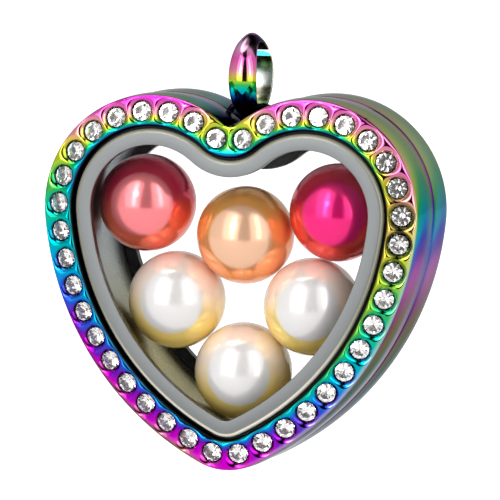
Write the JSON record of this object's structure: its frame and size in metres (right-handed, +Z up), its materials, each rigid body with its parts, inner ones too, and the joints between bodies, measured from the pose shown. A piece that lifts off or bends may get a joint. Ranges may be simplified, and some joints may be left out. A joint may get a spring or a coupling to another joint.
{
  "type": "heart locket pendant",
  "caption": "See-through heart locket of rainbow-coloured steel on a wide split bail, with a crystal-set front rim, clear panes and loose pearls inside.",
  "frame": {"origin": "the seat of the neck chain: the top of the hole through the bail, midway across the bail", "axes": "+Z up as the pendant hangs, -Y out of the crystal-set front, +X to the right seen from the front"},
  "size_m": [0.0313, 0.0103, 0.0336],
  "materials": {
    "rainbow_steel": "polished steel with a rainbow colour film",
    "satin_steel": "satin",
    "clear_glass": "clear, polished",
    "crystal": "faceted, polished",
    "red_pearl": "pearl lustre",
    "gold_pearl": "pearl lustre",
    "magenta_pearl": "pearl lustre",
    "white_pearl": "pearl lustre"
  },
  "bodies": {
    "bail": {"bail": "rainbow_steel"},
    "case": {"back_frame": "rainbow_steel", "back_liner": "satin_steel", "back_window": "clear_glass", "hinge_pin": "rainbow_steel", "pearl_red": "red_pearl", "pearl_gold": "gold_pearl", "pearl_magenta": "magenta_pearl", "pearl_white_left": "white_pearl", "pearl_white_right": "white_pearl", "pearl_bottom": "white_pearl"},
    "lid": {"front_frame": "rainbow_steel", "front_ring": "satin_steel", "front_window": "clear_glass", "crystal_01": "crystal", "crystal_02": "crystal", "crystal_03": "crystal", "crystal_04": "crystal", "crystal_05": "crystal", "crystal_06": "crystal", "crystal_07": "crystal", "crystal_08": "crystal", "crystal_09": "crystal", "crystal_10": "crystal", "crystal_11": "crystal", "crystal_12": "crystal", "crystal_13": "crystal", "crystal_14": "crystal", "crystal_15": "crystal", "crystal_16": "crystal", "crystal_17": "crystal", "crystal_18": "crystal", "crystal_19": "crystal", "crystal_20": "crystal", "crystal_21": "crystal", "crystal_22": "crystal", "crystal_23": "crystal", "crystal_24": "crystal", "crystal_25": "crystal", "crystal_26": "crystal", "crystal_27": "crystal", "crystal_28": "crystal", "crystal_29": "crystal", "crystal_30": "crystal", "crystal_31": "crystal", "crystal_32": "crystal", "crystal_33": "crystal", "crystal_34": "crystal", "crystal_35": "crystal", "crystal_36": "crystal", "crystal_37": "crystal", "crystal_38": "crystal", "crystal_39": "crystal", "crystal_40": "crystal"}
  },
  "joints": [
    {"name": "bail_swing", "type": "hinge", "parent": "bail", "child": "case", "pos_m": [0, 0, -0.00267], "axis": [0.9981, 0.061, 0], "range_deg": [-90, 90]},
    {"name": "lid_hinge", "type": "hinge", "parent": "case", "child": "lid", "pos_m": [-0.0157, -0.0006, -0.01363], "axis": [0, 0, -1], "range_deg": [0, 180]}
  ]
}
